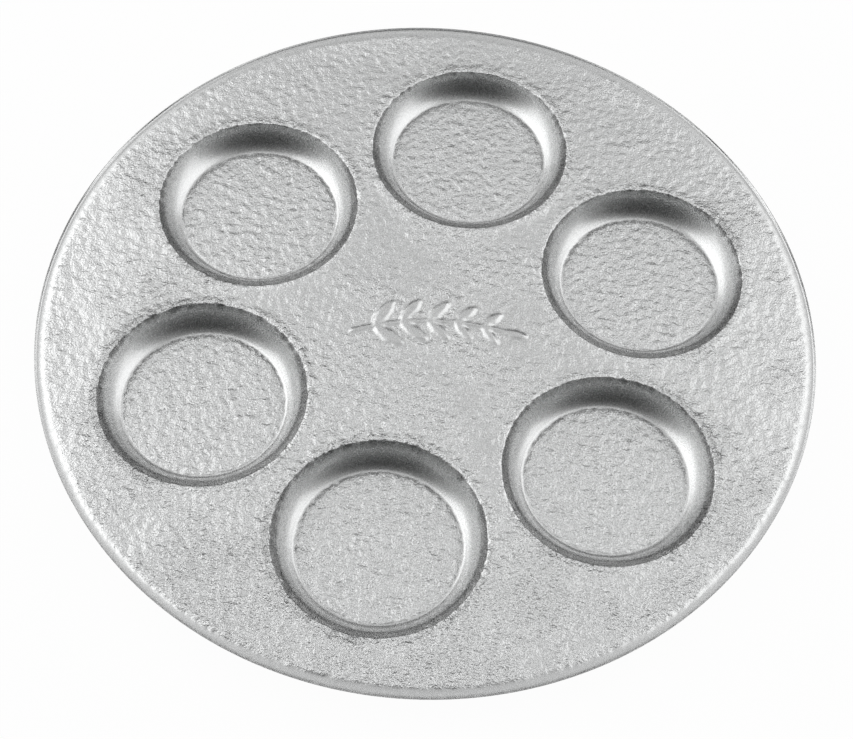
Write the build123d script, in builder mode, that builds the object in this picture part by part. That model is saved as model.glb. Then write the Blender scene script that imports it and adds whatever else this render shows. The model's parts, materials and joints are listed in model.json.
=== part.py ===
from build123d import *
import math
import os

# A round seder plate: one sheet of clear glass that sank into six wells over a mould, painted silver on
# its back, lacquered over the silver, and standing on a clear bumper foot under each well.
# +Z is up, the feet stand on Z = 0, the plate's axis is the Z axis and the first well lies on +Y.

# Driving dimensions, in millimetres and degrees
well_count = 6
first_well_angle = 90.0
well_mouth_diameter = 88.2  # circle where the flat sheet starts to bend down
well_web = 10.3  # flat sheet left between two neighbouring mouths
rim_width = 22.4  # flat sheet from a mouth out to the plate's edge
well_depth = 10.5  # from the flat upper face down to a well's floor
well_wall_angle = 63.0  # slope of the wall from the horizontal
floor_bend_radius = 8.4  # upper face, where the wall runs into the floor
back_crease_radius = 0.1  # finished back, where the sheet turned over the mould's edge
glass_thickness = 3.0
edge_land = 0.4  # flat strip at mid height between the two roundings of the outer edge
silver_thickness = 0.15
lacquer_thickness = 0.15
coat_wrap_angle = 45.0  # how far the coats climb round the lower outer edge
foot_diameter = 12.0
foot_height = 2.4
foot_edge_radius = 1.2

# Levels and radii that follow from them
coats_thickness = silver_thickness + lacquer_thickness
mouth_radius = well_mouth_diameter / 2
ring_radius = (well_mouth_diameter + well_web) / 2 / math.sin(math.pi / well_count)
plate_radius = ring_radius + mouth_radius + rim_width
edge_radius = (glass_thickness - edge_land) / 2
floor_level = foot_height + coats_thickness + glass_thickness
top_level = floor_level + well_depth

# A well's section: a lip arc, a straight wall and a floor arc, tangent to each other. Every layer shares
# the arcs' centres, so glass and coats keep their thickness all the way round the bends.
lip_radius = back_crease_radius + coats_thickness + glass_thickness
both_bends = lip_radius + floor_bend_radius
slope = math.radians(well_wall_angle)
wall_length = (well_depth - both_bends * (1 - math.cos(slope))) / math.sin(slope)
floor_radius = mouth_radius - both_bends * math.sin(slope) - wall_length * math.cos(slope)
lip_centre = (mouth_radius, top_level - lip_radius)
floor_centre = (floor_radius, floor_level + floor_bend_radius)


def well_cup(upper, lower):
    """One well of the layer between two depths under the plate's upper face, on the Z axis."""
    with BuildPart() as cup:
        with BuildSketch(Plane.XZ):
            with BuildLine():
                for depth in (upper, lower):
                    lip = CenterArc(lip_centre, lip_radius - depth, 90, well_wall_angle)
                    bend = CenterArc(floor_centre, floor_bend_radius + depth, -90, well_wall_angle)
                    Line(lip @ 1, bend @ 1)
                    Line(bend @ 0, (0, floor_level - depth))
                Line((mouth_radius, top_level - upper), (mouth_radius, top_level - lower))
                Line((0, floor_level - upper), (0, floor_level - lower))
            make_face()
        revolve(axis=Axis.Z)
    return cup.part


def back_coat(upper, lower):
    """A coat on the glass's back between two depths, down into the wells and round the lower edge."""
    cup = well_cup(upper, lower)
    edge_centre = (plate_radius - edge_radius, top_level - glass_thickness + edge_radius)
    with BuildPart() as coat:
        with BuildSketch(Plane.XZ):
            with BuildLine():
                outer_ends = []
                for depth in (upper, lower):
                    wrap = CenterArc(
                        edge_centre, edge_radius + depth - glass_thickness, -90, coat_wrap_angle
                    )
                    Line((0, top_level - depth), wrap @ 0)
                    outer_ends.append(wrap @ 1)
                Line((0, top_level - upper), (0, top_level - lower))
                Line(*outer_ends)
            make_face()
        revolve(axis=Axis.Z)
        with PolarLocations(ring_radius, well_count, first_well_angle):
            Hole(mouth_radius)
            add(cup)
    return coat


# The glass: a round sheet with a polished round edge, holed at each mouth and filled with a sunken cup
glass_cup = well_cup(0, glass_thickness)
with BuildPart() as glass_plate:
    with Locations((0, 0, top_level)):
        Cylinder(plate_radius, glass_thickness, align=(Align.CENTER, Align.CENTER, Align.MAX))
    fillet(glass_plate.edges().filter_by(GeomType.CIRCLE), edge_radius)
    with PolarLocations(ring_radius, well_count, first_well_angle):
        Hole(mouth_radius)
        add(glass_cup)

# The silver lies on the glass's back, and the lacquer on the silver
silver_depth = glass_thickness + silver_thickness
silver_backing = back_coat(glass_thickness, silver_depth)
lacquer_coat = back_coat(silver_depth, glass_thickness + coats_thickness)

pieces = {
    "glass_plate": glass_plate,
    "silver_backing": silver_backing,
    "lacquer_coat": lacquer_coat,
}

# A bumper foot is stuck under the middle of each well: flat above and below, rounded where it meets
# the table
foot_places = PolarLocations(ring_radius, well_count, first_well_angle)
for number, place in enumerate(foot_places, start=1):
    with BuildPart(Plane(place)) as foot:
        Cylinder(foot_diameter / 2, foot_height, align=(Align.CENTER, Align.CENTER, Align.MIN))
        fillet(foot.edges().group_by(Axis.Z)[0], foot_edge_radius)
    pieces[f"foot_{number}"] = foot

os.makedirs("parts", exist_ok=True)
for name, piece in pieces.items():
    piece.part.label = name
    export_step(piece.part, f"parts/{name}.step")
    print(name, round(piece.part.volume, 1), len(piece.part.solids()))
print("plate diameter", 2 * plate_radius, "height", top_level, "floor radius", round(floor_radius, 2))
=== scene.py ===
import json
import math

import bpy
import numpy as np
from mathutils import Matrix, Vector
from mathutils.geometry import delaunay_2d_cdt


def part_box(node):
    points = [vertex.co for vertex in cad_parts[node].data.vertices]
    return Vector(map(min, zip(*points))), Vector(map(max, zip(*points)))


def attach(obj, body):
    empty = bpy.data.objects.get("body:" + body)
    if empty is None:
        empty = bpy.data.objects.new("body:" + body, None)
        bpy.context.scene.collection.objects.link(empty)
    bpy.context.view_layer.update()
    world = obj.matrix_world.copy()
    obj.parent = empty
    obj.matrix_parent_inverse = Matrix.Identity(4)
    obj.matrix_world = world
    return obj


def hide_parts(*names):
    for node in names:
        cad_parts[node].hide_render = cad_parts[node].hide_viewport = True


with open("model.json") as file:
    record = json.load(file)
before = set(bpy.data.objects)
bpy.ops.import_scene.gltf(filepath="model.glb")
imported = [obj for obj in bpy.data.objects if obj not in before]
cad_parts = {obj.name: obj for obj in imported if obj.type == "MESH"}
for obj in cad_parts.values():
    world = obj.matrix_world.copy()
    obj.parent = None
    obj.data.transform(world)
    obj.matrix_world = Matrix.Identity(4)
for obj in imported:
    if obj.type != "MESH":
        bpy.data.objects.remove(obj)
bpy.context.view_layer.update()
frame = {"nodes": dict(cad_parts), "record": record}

# The glass sheet
# One round of clear float glass, softened in a kiln over a mould until it sank into six wells.
# Its face is fire-polished, and its back took the mould's grain wherever it lay on the mould.

glass_low, glass_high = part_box("glass_plate")
silver_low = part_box("silver_backing")[0]
lacquer_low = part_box("lacquer_coat")[0]
wells = [Vector(m["pos_m"]) for m in frame["record"]["mounts"] if m["name"].startswith("well_")]
plate_radius = glass_high.x
top_level = glass_high.z
ring_radius = wells[0].xy.length
well_depth = top_level - wells[0].z
glass_thickness = wells[0].z - glass_low.z
silver_depth = wells[0].z - silver_low.z
lacquer_depth = wells[0].z - lacquer_low.z

mouth_radius = 0.0441
wall_slope = math.radians(61)
floor_bend = 0.003
back_crease = 0.0004
face_lip = 0.006
edge_land = 0.0004
edge_radius = (glass_thickness - edge_land) / 2
flat_radius = plate_radius - edge_radius
lip_radius = back_crease + glass_thickness
floor_radius = 0.0329
wall_foot = math.radians(33)

# Plan points lie close where the sheet takes the grain, wide where it is smooth, and on rings at the bends
fine_spacing = 0.00115
coarse_spacing = 0.0046
rim_count = 840
bend_steps = 5
wall_steps = 6


def lip_arc(depth):
    """Where the lip's bend starts on a side at a depth, and its radius: the face bends more gently."""
    gentler = (face_lip - lip_radius) * max(0.0, 1 - depth / glass_thickness)
    return mouth_radius + gentler * math.tan(wall_slope / 2), lip_radius - depth + gentler


def ring_radii(depth):
    """Radii, from a well's mouth to its floor, of the rings that carry the bends of a side at a depth."""
    start, radius = lip_arc(depth)
    lip = start - radius * np.sin(np.linspace(0, wall_slope, bend_steps + 1))
    bend = floor_radius + (floor_bend + depth) * np.sin(np.linspace(wall_foot, 0, bend_steps + 1))
    wall = np.linspace(lip[-1], bend[0], wall_steps + 1)[1:-1]
    return np.concatenate([lip, wall, bend])


def circle(radius, count, centre=(0.0, 0.0)):
    turns = np.arange(count) * 2 * math.pi / count
    return np.stack([centre[0] + radius * np.cos(turns), centre[1] + radius * np.sin(turns)], 1)


def flat_side(depth, spacing, edge):
    """One side of a flat blank: plan points on a close grid, on rings round each well and round the edge."""
    rows = np.arange(-flat_radius, flat_radius, spacing * math.sqrt(3) / 2)
    steps = np.arange(-flat_radius, flat_radius, spacing)
    grid = np.array([(x + spacing / 2 * (i % 2), y) for i, y in enumerate(rows) for x in steps])
    near = np.min([np.hypot(grid[:, 0] - w.x, grid[:, 1] - w.y) for w in wells], 0)
    gap = 0.7 * spacing
    on_flat = (near > lip_arc(depth)[0] + gap) & (np.hypot(grid[:, 0], grid[:, 1]) < flat_radius - gap)
    grid = grid[on_flat | (near < floor_radius - gap)]
    ring_count = round(2 * math.pi * mouth_radius / (spacing * 1.1))
    rings = [circle(r, ring_count, w.xy) for w in wells for r in ring_radii(depth)]
    edges = [circle(r, rim_count) for r, _ in edge]
    plan = np.concatenate([grid, *rings, *edges])
    level = np.full(len(plan), -depth)
    for i, (_, height) in enumerate(edge):
        start = len(plan) - rim_count * (len(edge) - i)
        level[start:start + rim_count] = height
    mm = 1000.0
    made = delaunay_2d_cdt([Vector(p) for p in plan * mm], [], [], 0, 1e-7)
    assert len(made[0]) == len(plan)
    return np.column_stack([plan, level]), np.array(made[2])


def flat_blank(name, upper, lower, grain=(0.0, 1.0)):
    """A flat round blank closed at its rim. Each side is its depth, grid spacing and edge rings."""
    top, top_faces = flat_side(*upper)
    back, back_faces = flat_side(*lower)
    back_faces = back_faces[:, ::-1] + len(top)
    a = np.arange(rim_count) + len(top) - rim_count
    b = a + len(back)
    strip = np.stack([a, b, np.roll(b, -1), np.roll(a, -1)], 1)
    mesh = bpy.data.meshes.new(name)
    points = np.concatenate([top, back])
    points[:, 2] += top_level
    mesh.from_pydata(points, [], [*top_faces.tolist(), *back_faces.tolist(), *strip.tolist()])
    for label, pair in (("depth", (upper[0], lower[0])), ("grain", grain)):
        values = np.repeat(np.array(pair, np.float32), (len(top), len(back)))
        mesh.attributes.new(label, "FLOAT", "POINT").data.foreach_set("value", values)
    mesh.update()
    piece = bpy.data.objects.new(name, mesh)
    bpy.context.scene.collection.objects.link(piece)
    return piece


def add_node(tree, kind, links=None, **settings):
    """Adds a node with its settings, and sets or links its inputs by name or number."""
    made = tree.nodes.new(kind)
    for setting, value in settings.items():
        setattr(made, setting, value)
    for socket, value in (links or {}).items():
        if isinstance(value, bpy.types.NodeSocket):
            tree.links.new(value, made.inputs[socket])
        else:
            made.inputs[socket].default_value = value
    return made


def new_rule(name, inputs, outputs):
    """An empty geometry tree with named inputs of given socket kinds, and its input sockets."""
    tree = bpy.data.node_groups.new(name, "GeometryNodeTree")
    for label, kind in inputs.items():
        tree.interface.new_socket(label, in_out="INPUT", socket_type="NodeSocket" + kind)
    for label in outputs:
        tree.interface.new_socket(label, in_out="OUTPUT", socket_type="NodeSocketGeometry")
    return tree, add_node(tree, "NodeGroupInput").outputs


# The mould's ornament, a leaf sprig on its flat middle: a bowed stem with leaves in pairs and one at its tip
sprig_sizes = {
    "Length": 0.064,
    "Bow": 0.010,
    "Leaf Length": 0.0165,
    "Leaf Width": 0.0062,
    "Leaf Angle": math.radians(44),
    "Leaf Pairs": 5.0,
    "Turn": math.radians(12),
}
sprig, given = new_rule("leaf_sprig", dict.fromkeys(sprig_sizes, "Float"), ["Leaves", "Stem"])
half_length = add_node(sprig, "ShaderNodeMath", {
    0: given["Length"],
    1: 0.5,
}, operation="MULTIPLY").outputs[0]
ends = [add_node(sprig, "ShaderNodeCombineXYZ", {"X": x}).outputs[0]
        for x in (add_node(sprig, "ShaderNodeMath", {
        0: half_length,
        1: -1.0,
    }, operation="MULTIPLY").outputs[0], half_length)]
crown = add_node(sprig, "ShaderNodeCombineXYZ", {"Y": given["Bow"]}).outputs[0]
stem = add_node(sprig, "GeometryNodeCurveQuadraticBezier", {
    "Resolution": 24, "Start": ends[0], "Middle": crown, "End": ends[1]}).outputs[0]
disc = add_node(sprig, "GeometryNodeMeshCircle", {
    "Vertices": 32, "Radius": 1.0}, fill_type="NGON").outputs[0]
spot = add_node(sprig, "GeometryNodeInputPosition").outputs[0]
spot = add_node(sprig, "ShaderNodeSeparateXYZ", {0: spot}).outputs
along = add_node(sprig, "ShaderNodeMath", {
    0: add_node(sprig, "ShaderNodeMath", {
        0: spot["X"],
        1: 0.5,
        2: 0.5,
    }, operation="MULTIPLY_ADD").outputs[0],
    1: given["Leaf Length"],
}, operation="MULTIPLY").outputs[0]
pointed = add_node(sprig, "ShaderNodeMath", {
    0: add_node(sprig, "ShaderNodeMath", {0: spot["Y"]}, operation="ABSOLUTE").outputs[0],
    1: 1.5,
}, operation="POWER").outputs[0]
across = add_node(sprig, "ShaderNodeMath", {
    0: pointed,
    1: add_node(sprig, "ShaderNodeMath", {0: spot["Y"]}, operation="SIGN").outputs[0],
}, operation="MULTIPLY").outputs[0]
across = add_node(sprig, "ShaderNodeMath", {
    0: across,
    1: add_node(sprig, "ShaderNodeMath", {
        0: given["Leaf Width"],
        1: 0.5,
    }, operation="MULTIPLY").outputs[0],
}, operation="MULTIPLY").outputs[0]
outline = add_node(sprig, "ShaderNodeCombineXYZ", {"X": along, "Y": across}).outputs[0]
leaf = add_node(sprig, "GeometryNodeSetPosition", {"Geometry": disc, "Position": outline}).outputs[0]
leafy = add_node(sprig, "GeometryNodeTrimCurve", {
    "Curve": stem, "Start": 0.14, "End": 0.86}, mode="FACTOR").outputs[0]
leafy = add_node(sprig, "GeometryNodeResampleCurve", {
    "Curve": leafy, "Count": given["Leaf Pairs"]}).outputs[0]
tangent = add_node(sprig, "GeometryNodeInputTangent").outputs[0]
forward = add_node(sprig, "FunctionNodeAlignRotationToVector", {"Vector": tangent}, axis="X").outputs[0]
taper = add_node(sprig, "GeometryNodeSplineParameter").outputs["Factor"]
taper = add_node(sprig, "ShaderNodeMath", {
    0: taper,
    1: -0.3,
    2: 1.0,
}, operation="MULTIPLY_ADD").outputs[0]
tip = add_node(sprig, "GeometryNodeCurveEndpointSelection", {"Start Size": 0, "End Size": 1}).outputs[0]
leaves = [add_node(sprig, "GeometryNodeInstanceOnPoints", {
    "Points": stem, "Selection": tip, "Instance": leaf, "Rotation": forward, "Scale": taper}).outputs[0]]
for way in (-1.0, 1.0):
    lean = add_node(sprig, "ShaderNodeMath", {
        0: given["Leaf Angle"],
        1: way,
    }, operation="MULTIPLY").outputs[0]
    lean = add_node(sprig, "ShaderNodeCombineXYZ", {"Z": lean}).outputs[0]
    spread = add_node(sprig, "FunctionNodeRotateRotation", {
        "Rotation": forward, "Rotate By": lean}, rotation_space="LOCAL").outputs[0]
    leaves.append(add_node(sprig, "GeometryNodeInstanceOnPoints", {
        "Points": leafy, "Instance": leaf, "Rotation": spread, "Scale": taper}).outputs[0])
all_leaves = add_node(sprig, "GeometryNodeJoinGeometry")
for some in leaves:
    sprig.links.new(some, all_leaves.inputs[0])
all_leaves = add_node(sprig, "GeometryNodeRealizeInstances", {"Geometry": all_leaves.outputs[0]}).outputs[0]
stem_line = add_node(sprig, "GeometryNodeCurveToMesh", {"Curve": stem}).outputs[0]
turn = add_node(sprig, "ShaderNodeCombineXYZ", {"Z": given["Turn"]}).outputs[0]
turned = [add_node(sprig, "GeometryNodeTransform", {"Geometry": part, "Rotation": turn}).outputs[0]
          for part in (all_leaves, stem_line)]
add_node(sprig, "NodeGroupOutput", {"Leaves": turned[0], "Stem": turned[1]})

# The kiln's work as a rule: each point sinks by its distance from the nearest well, and where the sheet
# lies on the mould it takes the mould's grain and its sprig
slump_sizes = {
    "Ring Radius": ring_radius,
    "First Well Angle": math.atan2(wells[0].y, wells[0].x),
    "Well Depth": well_depth,
    "Mouth Radius": mouth_radius,
    "Floor Radius": floor_radius,
    "Wall Slope": wall_slope,
    "Wall Foot Slope": wall_foot,
    "Lip Radius": lip_radius,
    "Face Lip Radius": face_lip,
    "Thickness": glass_thickness,
    "Floor Bend": floor_bend,
    "Flat Radius": flat_radius,
    "Grain Size": 0.0022,
    "Grain Height": 0.0016,
    "Floor Grain Share": 1.0,
    "Patch Size": 0.030,
    "Smooth Share": 0.5,
    "Lip Raggedness": 0.0012,
    "Rim Fade Start": -0.0022,
    "Rim Fade End": -0.0036,
    "Outer Gain": 0.4,
    "Crumb Gain": 0.8,
    "Back Smoothing": -0.12 / plate_radius,
    "Sprig Height": 0.0006,
    "Stem Width": 0.0022,
    "Seed": 4.0,
}
slump_inputs = {"Geometry": "Geometry", **dict.fromkeys(slump_sizes, "Float"), "Material": "Material"}
slump, given = new_rule("slump_over_mould", slump_inputs, ["Geometry"])

centres = add_node(slump, "GeometryNodeMeshCircle", {"Vertices": len(wells), "Radius": given["Ring Radius"]})
turn = add_node(slump, "ShaderNodeCombineXYZ", {"Z": given["First Well Angle"]})
centres = add_node(slump, "GeometryNodeTransform", {
    "Geometry": centres.outputs["Mesh"], "Rotation": turn.outputs[0]})
place = add_node(slump, "GeometryNodeInputPosition").outputs[0]
plan = add_node(slump, "ShaderNodeVectorMath", {0: place, 1: (1, 1, 0)}, operation="MULTIPLY").outputs[0]
nearest = add_node(slump, "GeometryNodeProximity", {
    "Geometry": centres.outputs[0], "Sample Position": plan}, target_element="POINTS").outputs
share, depth = [
    add_node(slump, "GeometryNodeInputNamedAttribute", {"Name": name}, data_type="FLOAT").outputs[0]
    for name in ("grain", "depth")]
mouth, floor = given["Mouth Radius"], given["Floor Radius"]
slope, foot = given["Wall Slope"], given["Wall Foot Slope"]
through = add_node(slump, "ShaderNodeMath", {
    0: depth,
    1: given["Thickness"],
}, operation="DIVIDE").outputs[0]
gentler = add_node(slump, "ShaderNodeMath", {
    0: add_node(slump, "ShaderNodeMath", {0: 1.0, 1: through}, operation="SUBTRACT").outputs[0],
    1: 0.0,
}, operation="MAXIMUM").outputs[0]
gentler = add_node(slump, "ShaderNodeMath", {
    0: add_node(slump, "ShaderNodeMath", {
        0: given["Face Lip Radius"],
        1: given["Lip Radius"],
    }, operation="SUBTRACT").outputs[0],
    1: gentler,
}, operation="MULTIPLY").outputs[0]
lip = add_node(slump, "ShaderNodeMath", {
    0: add_node(slump, "ShaderNodeMath", {
        0: given["Lip Radius"],
        1: depth,
    }, operation="SUBTRACT").outputs[0],
    1: gentler,
}, operation="ADD").outputs[0]
lip = add_node(slump, "ShaderNodeMath", {0: lip, 1: 0.00005}, operation="MAXIMUM").outputs[0]
half_turn = add_node(slump, "ShaderNodeMath", {
    0: add_node(slump, "ShaderNodeMath", {0: slope, 1: 0.5}, operation="MULTIPLY").outputs[0],
}, operation="TANGENT").outputs[0]
bend_start = add_node(slump, "ShaderNodeMath", {
    0: gentler,
    1: half_turn,
    2: mouth,
}, operation="MULTIPLY_ADD").outputs[0]
bend = add_node(slump, "ShaderNodeMath", {0: given["Floor Bend"], 1: depth}, operation="ADD").outputs[0]


def mould_unevenness(seed_step, size, detail):
    """The mould's own unevenness over the plan, with features of a size and from its own seed."""
    seed = add_node(slump, "ShaderNodeMath", {0: given["Seed"], 1: seed_step}, operation="ADD").outputs[0]
    scale = add_node(slump, "ShaderNodeMath", {0: 1.0, 1: size}, operation="DIVIDE").outputs[0]
    return add_node(slump, "ShaderNodeTexNoise", {
        "Vector": plan, "W": seed, "Scale": scale, "Detail": detail, "Roughness": 0.55,
    }, noise_dimensions="4D").outputs[0]


grain = mould_unevenness(0.0, given["Grain Size"], 1.5)
ragged = add_node(slump, "ShaderNodeMath", {
    0: mould_unevenness(3.0, add_node(slump, "ShaderNodeMath", {
            0: given["Grain Size"],
            1: 0.8,
        }, operation="MULTIPLY").outputs[0], 1.0),
    1: 0.5,
}, operation="SUBTRACT").outputs[0]
ragged = add_node(slump, "ShaderNodeMath", {
    0: ragged,
    1: given["Lip Raggedness"],
}, operation="MULTIPLY").outputs[0]
reach = nearest["Distance"]

lip_width = add_node(slump, "ShaderNodeMath", {
    0: lip,
    1: add_node(slump, "ShaderNodeMath", {0: slope}, operation="SINE").outputs[0],
}, operation="MULTIPLY").outputs[0]
bend_width = add_node(slump, "ShaderNodeMath", {
    0: bend,
    1: add_node(slump, "ShaderNodeMath", {0: foot}, operation="SINE").outputs[0],
}, operation="MULTIPLY").outputs[0]


def arc_height(radius, run):
    """Height of an arc's point above its centre."""
    squares = [add_node(slump, "ShaderNodeMath", {0: value, 1: 2.0}, operation="POWER").outputs[0]
               for value in (radius, run)]
    rest = add_node(slump, "ShaderNodeMath", dict(enumerate(squares)), operation="SUBTRACT").outputs[0]
    return add_node(slump, "ShaderNodeMath", {0: rest}, operation="SQRT").outputs[0]


past_mouth = add_node(slump, "ShaderNodeMath", {
    0: add_node(slump, "ShaderNodeMath", {0: bend_start, 1: reach}, operation="SUBTRACT").outputs[0],
    1: 0.0,
}, operation="MAXIMUM").outputs[0]
on_lip = add_node(slump, "ShaderNodeMath", {
    0: past_mouth,
    1: lip_width,
}, operation="MINIMUM").outputs[0]
lip_drop = add_node(slump, "ShaderNodeMath", {
    0: lip,
    1: arc_height(lip, on_lip),
}, operation="SUBTRACT").outputs[0]
past_floor = add_node(slump, "ShaderNodeMath", {
    0: add_node(slump, "ShaderNodeMath", {0: reach, 1: floor}, operation="SUBTRACT").outputs[0],
    1: 0.0,
}, operation="MAXIMUM").outputs[0]
on_bend = add_node(slump, "ShaderNodeMath", {
    0: past_floor,
    1: bend_width,
}, operation="MINIMUM").outputs[0]
wall_run = add_node(slump, "ShaderNodeMath", {
    0: past_floor,
    1: on_bend,
}, operation="SUBTRACT").outputs[0]
wall_width = add_node(slump, "ShaderNodeMath", {
    0: add_node(slump, "ShaderNodeMath", {
        0: bend_start,
        1: lip_width,
    }, operation="SUBTRACT").outputs[0],
    1: floor,
}, operation="SUBTRACT").outputs[0]
wall_width = add_node(slump, "ShaderNodeMath", {
    0: wall_width,
    1: bend_width,
}, operation="SUBTRACT").outputs[0]
lip_whole = add_node(slump, "ShaderNodeMath", {
    0: lip,
    1: arc_height(lip, lip_width),
}, operation="SUBTRACT").outputs[0]
bend_whole = add_node(slump, "ShaderNodeMath", {
    0: bend,
    1: arc_height(bend, bend_width),
}, operation="SUBTRACT").outputs[0]
wall_height = add_node(slump, "ShaderNodeMath", {
    0: given["Well Depth"],
    1: add_node(slump, "ShaderNodeMath", {0: lip_whole, 1: bend_whole}, operation="ADD").outputs[0],
}, operation="SUBTRACT").outputs[0]
mean_grade = add_node(slump, "ShaderNodeMath", {
    0: wall_height,
    1: wall_width,
}, operation="DIVIDE").outputs[0]
foot_grade = add_node(slump, "ShaderNodeMath", {0: foot}, operation="TANGENT").outputs[0]
hollow = add_node(slump, "ShaderNodeMath", {
    0: add_node(slump, "ShaderNodeMath", {
        0: mean_grade,
        1: foot_grade,
    }, operation="SUBTRACT").outputs[0],
    1: wall_width,
}, operation="DIVIDE").outputs[0]
grade = add_node(slump, "ShaderNodeMath", {
    0: hollow,
    1: wall_run,
    2: foot_grade,
}, operation="MULTIPLY_ADD").outputs[0]
wall_rise = add_node(slump, "ShaderNodeMath", {0: wall_run, 1: grade}, operation="MULTIPLY").outputs[0]
bend_rise = add_node(slump, "ShaderNodeMath", {
    0: add_node(slump, "ShaderNodeMath", {
        0: bend,
        1: arc_height(bend, on_bend),
    }, operation="SUBTRACT").outputs[0],
    1: wall_rise,
}, operation="ADD").outputs[0]
floor_drop = add_node(slump, "ShaderNodeMath", {
    0: given["Well Depth"],
    1: bend_rise,
}, operation="SUBTRACT").outputs[0]
in_lip = add_node(slump, "ShaderNodeMath", {
    0: past_mouth,
    1: lip_width,
}, operation="LESS_THAN").outputs[0]
drop = add_node(slump, "ShaderNodeMix", {0: in_lip, 2: floor_drop, 3: lip_drop}).outputs[0]

past_lip = add_node(slump, "ShaderNodeMath", {
    0: add_node(slump, "ShaderNodeMath", {0: reach, 1: ragged}, operation="ADD").outputs[0],
    1: mouth,
}, operation="SUBTRACT").outputs[0]
on_flat = add_node(slump, "ShaderNodeMapRange", {
    "Value": past_lip,
    "From Min": -0.0006,
    "From Max": 0.0003,
}, interpolation_type="SMOOTHSTEP").outputs[0]
on_floor = add_node(slump, "ShaderNodeMapRange", {
    "Value": add_node(slump, "ShaderNodeMath", {0: reach, 1: floor}, operation="SUBTRACT").outputs[0],
    "From Min": 0.0025,
    "From Max": -0.0005,
}, interpolation_type="SMOOTHSTEP").outputs[0]
on_floor = add_node(slump, "ShaderNodeMath", {
    0: on_floor,
    1: given["Floor Grain Share"],
}, operation="MULTIPLY").outputs[0]
plan_radius = add_node(slump, "ShaderNodeVectorMath", {0: plan}, operation="LENGTH").outputs["Value"]
past_edge = add_node(slump, "ShaderNodeMath", {
    0: add_node(slump, "ShaderNodeMath", {0: plan_radius, 1: ragged}, operation="ADD").outputs[0],
    1: given["Flat Radius"],
}, operation="SUBTRACT").outputs[0]
within = add_node(slump, "ShaderNodeMapRange", {
    "Value": past_edge,
    "From Min": given["Rim Fade Start"],
    "From Max": given["Rim Fade End"],
}, interpolation_type="SMOOTHSTEP").outputs[0]
towards_back = add_node(slump, "ShaderNodeSeparateXYZ", {0: plan}).outputs["Y"]
patch = add_node(slump, "ShaderNodeMath", {
    0: towards_back,
    1: given["Back Smoothing"],
    2: mould_unevenness(7.0, given["Patch Size"], 1.0),
}, operation="MULTIPLY_ADD").outputs[0]
patch = add_node(slump, "ShaderNodeMapRange", {
    "Value": patch,
    "From Min": 0.35,
    "From Max": 0.65,
}, interpolation_type="SMOOTHSTEP").outputs[0]
uneven = add_node(slump, "ShaderNodeMix", {0: patch, 2: given["Smooth Share"], 3: 1.0}).outputs[0]

drawn = add_node(slump, "GeometryNodeGroup", sprig_sizes, node_tree=sprig).outputs
inside, from_edge, from_stem = [
    add_node(slump, "GeometryNodeProximity", {
        "Geometry": drawn[part], "Sample Position": plan}, target_element=kind).outputs["Distance"]
    for part, kind in (("Leaves", "FACES"), ("Leaves", "EDGES"), ("Stem", "EDGES"))]
inside = add_node(slump, "ShaderNodeMath", {0: inside, 1: 0.000001}, operation="LESS_THAN").outputs[0]
in_leaf = add_node(slump, "ShaderNodeMath", {
    0: from_edge,
    1: add_node(slump, "ShaderNodeMath", {
        0: inside,
        1: 2.0,
        2: -1.0,
    }, operation="MULTIPLY_ADD").outputs[0],
}, operation="MULTIPLY").outputs[0]
in_stem = add_node(slump, "ShaderNodeMath", {
    0: add_node(slump, "ShaderNodeMath", {
        0: given["Stem Width"],
        1: 0.5,
    }, operation="MULTIPLY").outputs[0],
    1: from_stem,
}, operation="SUBTRACT").outputs[0]
in_sprig = add_node(slump, "ShaderNodeMath", {0: in_leaf, 1: in_stem}, operation="MAXIMUM").outputs[0]
raised = add_node(slump, "ShaderNodeMath", {
    0: add_node(slump, "ShaderNodeMapRange", {
        "Value": in_sprig,
        "From Min": -0.0004,
        "From Max": 0.0008,
    }, interpolation_type="SMOOTHSTEP").outputs[0],
    1: given["Sprig Height"],
}, operation="MULTIPLY").outputs[0]

outer = add_node(slump, "ShaderNodeMath", {
    0: add_node(slump, "ShaderNodeMapRange", {
        "Value": plan_radius,
        "From Min": 0.05,
        "From Max": 0.14,
    }, interpolation_type="SMOOTHSTEP").outputs[0],
    1: given["Outer Gain"],
    2: 1.0,
}, operation="MULTIPLY_ADD").outputs[0]
crumbly = add_node(slump, "ShaderNodeMath", {
    0: add_node(slump, "ShaderNodeMapRange", {
        "Value": past_lip,
        "From Min": 0.0035,
        "From Max": 0.0008,
    }, interpolation_type="SMOOTHSTEP").outputs[0],
    1: given["Crumb Gain"],
    2: 1.0,
}, operation="MULTIPLY_ADD").outputs[0]
uneven = add_node(slump, "ShaderNodeMath", {
    0: add_node(slump, "ShaderNodeMath", {0: uneven, 1: outer}, operation="MULTIPLY").outputs[0],
    1: crumbly,
}, operation="MULTIPLY").outputs[0]
contact = add_node(slump, "ShaderNodeMath", {
    0: add_node(slump, "ShaderNodeMath", {0: on_flat, 1: uneven}, operation="MULTIPLY").outputs[0],
    1: on_floor,
}, operation="MAXIMUM").outputs[0]
contact = add_node(slump, "ShaderNodeMath", {0: contact, 1: within}, operation="MULTIPLY").outputs[0]
contact = add_node(slump, "ShaderNodeMath", {
    0: contact,
    1: add_node(slump, "ShaderNodeMapRange", {
        "Value": in_sprig,
        "From Min": -0.0002,
        "From Max": -0.0012,
    }, interpolation_type="SMOOTHSTEP").outputs[0],
}, operation="MULTIPLY").outputs[0]
bumps = add_node(slump, "ShaderNodeMath", {
    0: add_node(slump, "ShaderNodeMath", {0: grain, 1: 0.3}, operation="SUBTRACT").outputs[0],
    1: 0.0,
}, operation="MAXIMUM").outputs[0]
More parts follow.
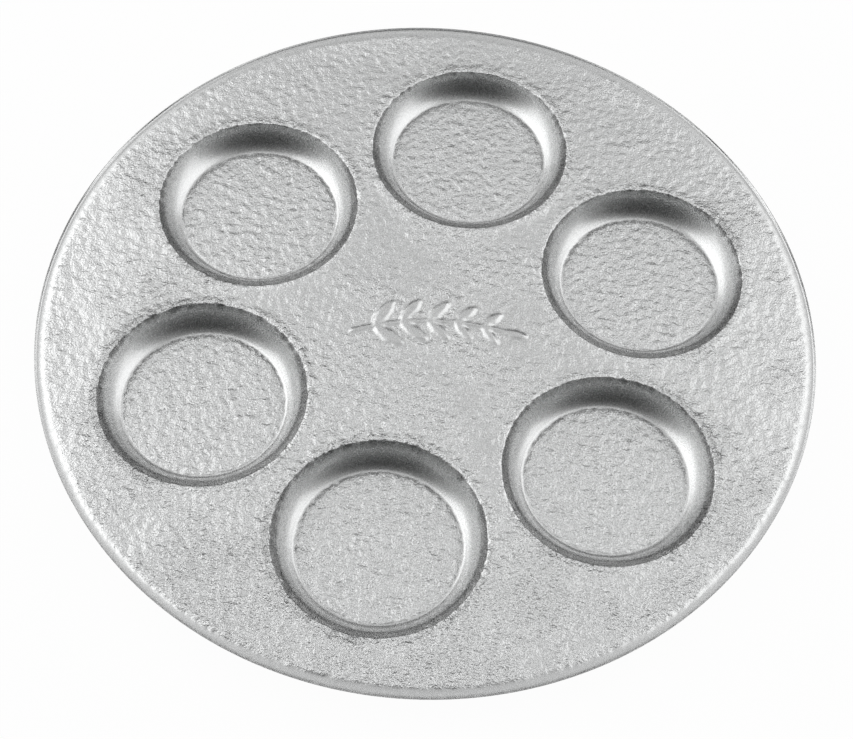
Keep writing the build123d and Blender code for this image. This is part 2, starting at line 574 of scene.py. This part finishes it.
relief = add_node(slump, "ShaderNodeMath", {
    0: add_node(slump, "ShaderNodeMath", {
        0: bumps,
        1: given["Grain Height"],
    }, operation="MULTIPLY").outputs[0],
    1: contact,
}, operation="MULTIPLY").outputs[0]
relief = add_node(slump, "ShaderNodeMath", {
    0: add_node(slump, "ShaderNodeMath", {0: relief, 1: raised}, operation="ADD").outputs[0],
    1: share,
}, operation="MULTIPLY").outputs[0]
lift = add_node(slump, "ShaderNodeCombineXYZ", {"Z": add_node(slump, "ShaderNodeMath", {
        0: relief,
        1: drop,
    }, operation="SUBTRACT").outputs[0]})
sunk = add_node(slump, "GeometryNodeSetPosition", {"Geometry": given["Geometry"], "Offset": lift.outputs[0]})
from_centre = add_node(slump, "ShaderNodeVectorMath", {
    0: plan, 1: nearest["Position"]}, operation="SUBTRACT")
outwards = add_node(slump, "ShaderNodeVectorMath", {0: from_centre.outputs[0]}, operation="NORMALIZE")
lip_point = add_node(slump, "ShaderNodeVectorMath", {
    0: outwards.outputs[0], "Scale": mouth}, operation="SCALE").outputs[0]
lip_point = add_node(slump, "ShaderNodeVectorMath", {
    0: lip_point, 1: nearest["Position"]}, operation="ADD").outputs[0]
marked = sunk.outputs[0]
for name, kind, value in (("contact", "FLOAT", contact), ("lip_point", "FLOAT_VECTOR", lip_point)):
    marked = add_node(slump, "GeometryNodeStoreNamedAttribute", {
        "Geometry": marked, "Name": name, "Value": value}, data_type=kind, domain="POINT").outputs[0]
smooth = add_node(slump, "GeometryNodeSetShadeSmooth", {"Geometry": marked})
whole = add_node(slump, "GeometryNodeRealizeInstances", {"Geometry": smooth.outputs[0]})
coated = add_node(slump, "GeometryNodeSetMaterial", {
    "Geometry": whole.outputs[0], "Material": given["Material"]})
add_node(slump, "NodeGroupOutput", {"Geometry": coated.outputs[0]})


def slumped(piece, material, **changed):
    """Runs the kiln's rule on a blank and keeps the result as a plain mesh."""
    work = piece.modifiers.new("slump", "NODES")
    work.node_group = slump
    for socket in slump.interface.items_tree:
        if socket.in_out == "INPUT" and socket.name in slump_sizes:
            work[socket.identifier] = changed.get(socket.name, slump_sizes[socket.name])
        if socket.in_out == "INPUT" and socket.name == "Material":
            work[socket.identifier] = material
    evaluated = piece.evaluated_get(bpy.context.evaluated_depsgraph_get())
    mesh = bpy.data.meshes.new_from_object(evaluated)
    piece.modifiers.clear()
    piece.data = mesh
    return piece


def linear(hex_colour):
    """An sRGB hex colour as linear RGBA."""
    parts = [int(hex_colour[i:i + 2], 16) / 255 for i in (1, 3, 5)]
    return (*[p / 12.92 if p <= 0.04045 else ((p + 0.055) / 1.055) ** 2.4 for p in parts], 1.0)


# Float glass after a fire polish: colourless face on, with a soft ripple and a trace of green
float_glass = bpy.data.materials.new("fire_polished_float_glass")
float_glass.use_nodes = True
tree = float_glass.node_tree
shader = tree.nodes["Principled BSDF"]
shader.inputs["Base Color"].default_value = linear("#FDFEFE")
shader.inputs["Roughness"].default_value = 0.0
shader.inputs["IOR"].default_value = 1.52
shader.inputs["Transmission Weight"].default_value = 1.0
where = add_node(tree, "ShaderNodeTexCoord").outputs["Object"]
ripple_size = 0.018
ripple = add_node(tree, "ShaderNodeTexNoise", {"Vector": where, "Scale": 1 / ripple_size, "Detail": 1.0})
bump = add_node(tree, "ShaderNodeBump", {"Height": ripple.outputs[0], "Strength": 0.1, "Distance": 0.001})
tree.links.new(bump.outputs[0], shader.inputs["Normal"])


def rounded_edge(radius, centre_level, way, last_turn, steps):
    """Edge rings from the flat outwards: an arc of that radius, curving up (way 1) or down (way -1)."""
    turns = np.linspace(0, last_turn, steps + 1)
    return [(flat_radius + radius * math.sin(t), centre_level - way * radius * math.cos(t)) for t in turns]


edge_steps = 6
upper_edge = rounded_edge(edge_radius, -edge_radius, -1, math.pi / 2, edge_steps)
lower_edge = rounded_edge(edge_radius, edge_radius - glass_thickness, 1, math.pi / 2, edge_steps)
sheet = flat_blank(
    "glass_sheet", (0.0, coarse_spacing, upper_edge), (glass_thickness, fine_spacing, lower_edge))
slumped(sheet, float_glass)
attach(sheet, "root")
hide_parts("glass_plate")

# The silver
# Metallic silver paint sprayed on the glass's back, seen through the glass. It follows the mould's grain
# and climbs a little way round the lower edge.

optical_contact = 0.00002
wrap_turn = math.radians(45)
flake_size = 0.0005
sand_size = 0.0009
sand_height = 0.00028
streak_size = 0.0011
streak_height = 0.000006

# Sprayed metallic paint seen through glass: a satin metal, in bright specks where the grain turns to the
# light and softly streaked down the walls, where it lay free of the mould
silver_paint = bpy.data.materials.new("sprayed_silver_paint")
silver_paint.use_nodes = True
tree = silver_paint.node_tree
shader = tree.nodes["Principled BSDF"]
shader.inputs["Base Color"].default_value = linear("#F5F5F5")
shader.inputs["Metallic"].default_value = 1.0
where = add_node(tree, "ShaderNodeTexCoord").outputs["Object"]
flakes = add_node(tree, "ShaderNodeTexNoise", {
    "Vector": where, "Scale": 1 / flake_size, "Detail": 1.0}).outputs[0]
roughness = add_node(tree, "ShaderNodeMapRange", {"Value": flakes, "To Min": 0.23, "To Max": 0.31})
tree.links.new(roughness.outputs[0], shader.inputs["Roughness"])
touched = add_node(tree, "ShaderNodeAttribute", attribute_name="contact").outputs["Fac"]
sand = add_node(tree, "ShaderNodeTexNoise", {
    "Vector": where, "Scale": 1 / sand_size, "Detail": 2.0, "Roughness": 0.5})
sand = add_node(tree, "ShaderNodeMath", {
    0: add_node(tree, "ShaderNodeMath", {
        0: sand.outputs[0],
        1: 0.45,
    }, operation="SUBTRACT").outputs[0],
    1: touched,
}, operation="MULTIPLY").outputs[0]
sand = add_node(tree, "ShaderNodeMath", {0: sand, 1: sand_height}, operation="MULTIPLY").outputs[0]
lip_point = add_node(tree, "ShaderNodeAttribute", attribute_name="lip_point").outputs["Vector"]
streaks = add_node(tree, "ShaderNodeTexNoise", {
    "Vector": lip_point, "Scale": 1 / streak_size, "Detail": 1.0}).outputs[0]
free = add_node(tree, "ShaderNodeMath", {
    0: add_node(tree, "ShaderNodeMath", {0: 1.0, 1: touched}, operation="SUBTRACT").outputs[0],
    1: 0.0,
}, operation="MAXIMUM").outputs[0]
streaks = add_node(tree, "ShaderNodeMath", {
    0: add_node(tree, "ShaderNodeMath", {0: streaks, 1: free}, operation="MULTIPLY").outputs[0],
    1: streak_height,
}, operation="MULTIPLY").outputs[0]
height = add_node(tree, "ShaderNodeMath", {0: sand, 1: streaks}, operation="ADD").outputs[0]
bump = add_node(tree, "ShaderNodeBump", {"Height": height, "Strength": 1.0, "Distance": 1.0})
tree.links.new(bump.outputs[0], shader.inputs["Normal"])

edge_level = edge_radius - glass_thickness


def coat_side(depth, spacing):
    """A side of a coat at a depth: its bends and its edge follow the glass's back."""
    return depth, spacing, rounded_edge(edge_radius + depth - glass_thickness, edge_level, 1, wrap_turn, 3)


silver = flat_blank(
    "silver_coat", coat_side(glass_thickness - optical_contact, fine_spacing),
    coat_side(silver_depth, coarse_spacing), (1.0, 0.0))
slumped(silver, silver_paint)
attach(silver, "root")
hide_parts("silver_backing")

# The lacquer
# A grey protective lacquer sprayed over the silver, the plate's own underside. It softens what is left of
# the grain.

back_spacing = 0.002
grain_left = 0.25

# Sprayed lacquer: satin grey, misted and with a faint orange peel
back_lacquer = bpy.data.materials.new("grey_back_lacquer")
back_lacquer.use_nodes = True
tree = back_lacquer.node_tree
shader = tree.nodes["Principled BSDF"]
shader.inputs["Base Color"].default_value = linear("#9A9C9D")
where = add_node(tree, "ShaderNodeTexCoord").outputs["Object"]
mist_size = 0.0006
mist = add_node(tree, "ShaderNodeTexNoise", {
    "Vector": where, "Scale": 1 / mist_size, "Detail": 2.0}).outputs[0]
mist = add_node(tree, "ShaderNodeMapRange", {"Value": mist, "To Min": 0.38, "To Max": 0.52}).outputs[0]
tree.links.new(mist, shader.inputs["Roughness"])
peel_size = 0.0016
peel = add_node(tree, "ShaderNodeTexNoise", {
    "Vector": where, "Scale": 1 / peel_size, "Detail": 1.0}).outputs[0]
bump = add_node(tree, "ShaderNodeBump", {"Height": peel, "Strength": 0.5, "Distance": 0.0001})
tree.links.new(bump.outputs[0], shader.inputs["Normal"])

lacquer = flat_blank(
    "lacquer_coat_back", coat_side(silver_depth, coarse_spacing),
    coat_side(lacquer_depth, back_spacing), (0.0, grain_left))
slumped(lacquer, back_lacquer)
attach(lacquer, "root")
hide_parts("lacquer_coat")

# The feet
# Clear self-adhesive bumpers of cast polyurethane, one stuck under the middle of each well. The plate
# stands on them.

# Cast polyurethane: nearly clear and glossy, with a slight haze
clear_bumper = bpy.data.materials.new("clear_polyurethane_bumper")
clear_bumper.use_nodes = True
tree = clear_bumper.node_tree
shader = tree.nodes["Principled BSDF"]
shader.inputs["Base Color"].default_value = linear("#E6EAEA")
where = add_node(tree, "ShaderNodeTexCoord").outputs["Object"]
haze_size = 0.0009
haze = add_node(tree, "ShaderNodeTexNoise", {
    "Vector": where, "Scale": 1 / haze_size, "Detail": 2.0}).outputs[0]
haze = add_node(tree, "ShaderNodeMapRange", {"Value": haze, "To Min": 0.12, "To Max": 0.28}).outputs[0]
tree.links.new(haze, shader.inputs["Roughness"])
shader.inputs["IOR"].default_value = 1.49
shader.inputs["Transmission Weight"].default_value = 0.8
for name, node in frame["nodes"].items():
    if name.startswith("foot_"):
        node.data.materials.clear()
        node.data.materials.append(clear_bumper)

# The table and the light
# A plain white table, a large soft box on each side, and a studio that is dark behind the camera.

photo_turn = math.radians(8.38)
table_glow = 0.97
lamp_power = 3.8
right_share = 0.78
lamp_turn = 74
lamp_rise = 34
lamp_distance = 0.9
lamp_width = 1.15
lamp_height = 1.1
back_level = 0.508
front_level = 0.024

floor_mesh = bpy.data.meshes.new("table")
side = 30.0
corners = [(-side, -side, 0), (side, -side, 0), (side, side, 0), (-side, side, 0)]
floor_mesh.from_pydata(corners, [], [(0, 1, 2, 3)])
table = bpy.data.objects.new("table", floor_mesh)
bpy.context.scene.collection.objects.link(table)
white = bpy.data.materials.new("white_table")
white.use_nodes = True
tree = white.node_tree
shader = tree.nodes["Principled BSDF"]
shader.inputs["Base Color"].default_value = linear("#F4F4F4")
shader.inputs["Roughness"].default_value = 0.8
glow = add_node(tree, "ShaderNodeEmission", {"Strength": 1.0})
rays = add_node(tree, "ShaderNodeLightPath")
seen = rays.outputs["Is Camera Ray"]
for kind in ("Is Glossy Ray", "Is Transmission Ray"):
    seen = add_node(tree, "ShaderNodeMath", {0: seen, 1: rays.outputs[kind]}, operation="MAXIMUM").outputs[0]
seen = add_node(tree, "ShaderNodeMath", {0: seen, 1: table_glow}, operation="MULTIPLY")
both = add_node(tree, "ShaderNodeMixShader", {0: seen.outputs[0], 1: shader.outputs[0], 2: glow.outputs[0]})
tree.links.new(both.outputs[0], tree.nodes["Material Output"].inputs["Surface"])
floor_mesh.materials.append(white)


def soft_box(name, azimuth, power):
    """An area lamp aimed at the plate from an azimuth: 0 is behind the plate, 90 to its right."""
    lamp = bpy.data.lights.new(name, "AREA")
    lamp.shape = "RECTANGLE"
    lamp.size = lamp_width
    lamp.size_y = lamp_height
    lamp.energy = power
    light = bpy.data.objects.new(name, lamp)
    turn = math.pi / 2 - math.radians(azimuth) + photo_turn
    rise = math.radians(lamp_rise)
    away = Vector((math.cos(turn) * math.cos(rise), math.sin(turn) * math.cos(rise), math.sin(rise)))
    facing_plate = away.to_track_quat("Z", "Y").to_matrix().to_4x4()
    light.matrix_world = Matrix.Translation(away * lamp_distance) @ facing_plate
    light.visible_camera = False
    bpy.context.scene.collection.objects.link(light)


soft_box("left_soft_box", -lamp_turn, lamp_power)
soft_box("right_soft_box", lamp_turn, right_share * lamp_power)

studio = bpy.data.worlds.new("studio")
bpy.context.scene.world = studio
studio.use_nodes = True
tree = studio.node_tree
where = add_node(tree, "ShaderNodeTexCoord").outputs["Generated"]
towards = (math.sin(photo_turn), -math.cos(photo_turn), 0.0)
facing = add_node(tree, "ShaderNodeVectorMath", {
    0: where, 1: towards}, operation="DOT_PRODUCT").outputs["Value"]
shade = add_node(tree, "ShaderNodeMapRange", {
    "Value": facing, "From Min": 0.0, "From Max": 0.85, "To Min": back_level, "To Max": front_level},
    interpolation_type="SMOOTHSTEP").outputs[0]
background = tree.nodes["Background"]
tree.links.new(shade, background.inputs["Color"])

# The camera, at the photograph's viewing angle

lens = 83.1
view_elevation = math.radians(59.58)
view_roll = math.radians(3.305)
view_distance = 5.004 * plate_radius
view_target = Vector((0.00076, -0.01905, -0.0018))

camera = bpy.data.objects.new("camera", bpy.data.cameras.new("camera"))
bpy.context.scene.collection.objects.link(camera)
bpy.context.scene.camera = camera
camera.data.lens = lens
camera.data.sensor_width = 36.0
camera.data.clip_start = 0.01
back = Vector((0, -math.cos(view_elevation), math.sin(view_elevation)))
right = Vector((1, 0, 0))
up = back.cross(right)
turned_right = math.cos(view_roll) * right + math.sin(view_roll) * up
turned_up = -math.sin(view_roll) * right + math.cos(view_roll) * up
aim = Matrix((turned_right, turned_up, back)).transposed().to_4x4()
spin = Matrix.Rotation(photo_turn, 4, "Z")
lift = Matrix.Translation((0, 0, top_level))
camera.matrix_world = lift @ spin @ Matrix.Translation(view_target + back * view_distance) @ aim

bpy.context.scene.view_settings.view_transform = "Standard"
